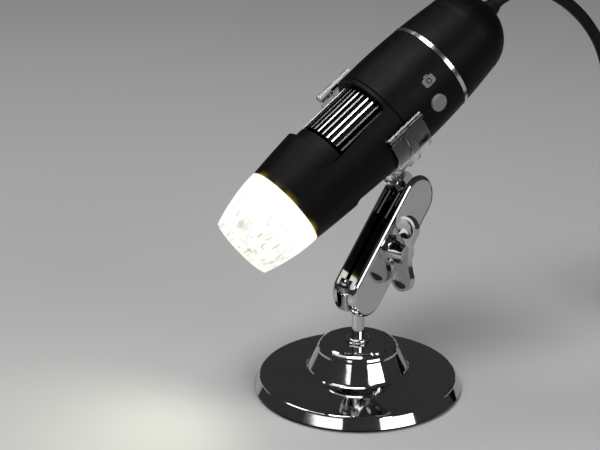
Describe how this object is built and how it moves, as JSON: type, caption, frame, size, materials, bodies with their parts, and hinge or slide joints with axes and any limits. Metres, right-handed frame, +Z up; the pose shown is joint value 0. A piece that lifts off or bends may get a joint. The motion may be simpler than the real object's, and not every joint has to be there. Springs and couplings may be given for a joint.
{
  "type": "usb digital microscope",
  "caption": "Hand-held digital microscope with a lit clear nose and ribbed focus wheel, held by a clip on a chrome ball-clamp arm over a round weighted base.",
  "frame": {"origin": "centre of the base's resting face on the table", "axes": "+Z up out of the table along the post; the clamp arm leans toward +X; the clamping bolt lies along Y with the wing nut on the -Y side"},
  "size_m": [0.2034, 0.11, 0.125],
  "materials": {
    "chrome": "bright polished chrome",
    "ballast": "rough",
    "pad": "matt foam rubber",
    "steel": "bright",
    "clear_plastic": "clear, polished",
    "nose_plastic": "clear, frosted by its own light",
    "black_gloss": "gloss",
    "black_soft": "satin",
    "black_matte": "matt",
    "lens_glass": "clear",
    "lamp": "clear lamp body, lit",
    "board": "solder mask",
    "sensor": "satin",
    "grey_plastic": "satin",
    "white_plastic": "satin",
    "brass": "bright"
  },
  "bodies": {
    "base": {"base_cover": "chrome", "base_ballast": "ballast", "base_pad": "pad", "base_post": "chrome", "post_washer": "steel", "post_nut": "steel"},
    "swivel_ball": {"post_ball": "chrome"},
    "arm": {"clamp_plate_front": "chrome", "clamp_plate_rear": "chrome", "clamp_bolt": "chrome", "clamp_washer": "chrome"},
    "wing": {"wing_nut": "chrome"},
    "neck": {"holder_ball": "clear_plastic"},
    "clip": {"holder_clip": "clear_plastic"},
    "microscope": {"nose_cone": "nose_plastic", "front_shell": "black_gloss", "rear_shell": "black_gloss", "trim_ring": "chrome", "tail_cap": "black_gloss", "cord_relief": "black_soft", "guide_tube": "black_matte", "lamp_board": "board", "lamps": "lamp", "sensor_board": "board", "image_sensor": "sensor", "controller_chip": "black_matte", "board_screws": "steel", "cord_socket": "white_plastic", "switch_board": "board", "snap_switch": "black_matte", "cord_free": "black_soft", "cord_coil": "black_soft", "coil_tie": "black_soft", "plug_grip": "black_soft", "plug_shell": "steel", "plug_tongue": "white_plastic", "plug_contacts": "brass"},
    "wheel": {"focus_wheel": "chrome"},
    "lens": {"lens_barrel": "black_matte", "follower_pin": "steel", "objective_lens": "lens_glass", "lens_retainer": "black_matte"},
    "button": {"snap_button": "grey_plastic", "switch_plunger": "black_matte"}
  },
  "joints": [
    {"name": "arm_swivel", "type": "hinge", "parent": "base", "child": "swivel_ball", "pos_m": [0, 0, 0.0338], "axis": [0, 0, 1], "continuous": true},
    {"name": "arm_tilt", "type": "hinge", "parent": "swivel_ball", "child": "arm", "pos_m": [0, 0, 0.0338], "axis": [0, 1, 0], "range_deg": [-30, 25]},
    {"name": "wing_turn", "type": "hinge", "parent": "arm", "child": "wing", "pos_m": [0.01104, 0, 0.04606], "axis": [0, -1, 0], "continuous": true},
    {"name": "holder_tilt", "type": "hinge", "parent": "arm", "child": "neck", "pos_m": [0.02355, 0, 0.05996], "axis": [0, 1, 0], "range_deg": [-10, 40]},
    {"name": "holder_swivel", "type": "hinge", "parent": "neck", "child": "clip", "pos_m": [0.02355, 0, 0.05996], "axis": [0.541, -0.1636, -0.8249], "range_deg": [-60, 60]},
    {"name": "scope_roll", "type": "hinge", "parent": "clip", "child": "microscope", "pos_m": [0.00711, 0.00497, 0.08504], "axis": [0.7981, -0.2094, 0.565], "range_deg": [-90, 90]},
    {"name": "focus_turn", "type": "hinge", "parent": "microscope", "child": "wheel", "pos_m": [0.00711, 0.00497, 0.08504], "axis": [0.7981, -0.2094, 0.565], "range_deg": [-120, 120]},
    {"name": "lens_slide", "type": "slide", "parent": "microscope", "child": "lens", "axis": [0.7981, -0.2094, 0.565], "range_m": [-0.00401, 0.00401]},
    {"name": "snap_press", "type": "slide", "parent": "microscope", "child": "button", "axis": [0.2268, 0.9731, 0.0403], "range_m": [0, 0.0005], "stiffness_N_per_m": 1200, "springref_m": -0.0006}
  ],
  "couplings": [
    {"joint": "lens_slide", "follows": "focus_turn", "m_per_rad": -0.0019099}
  ]
}
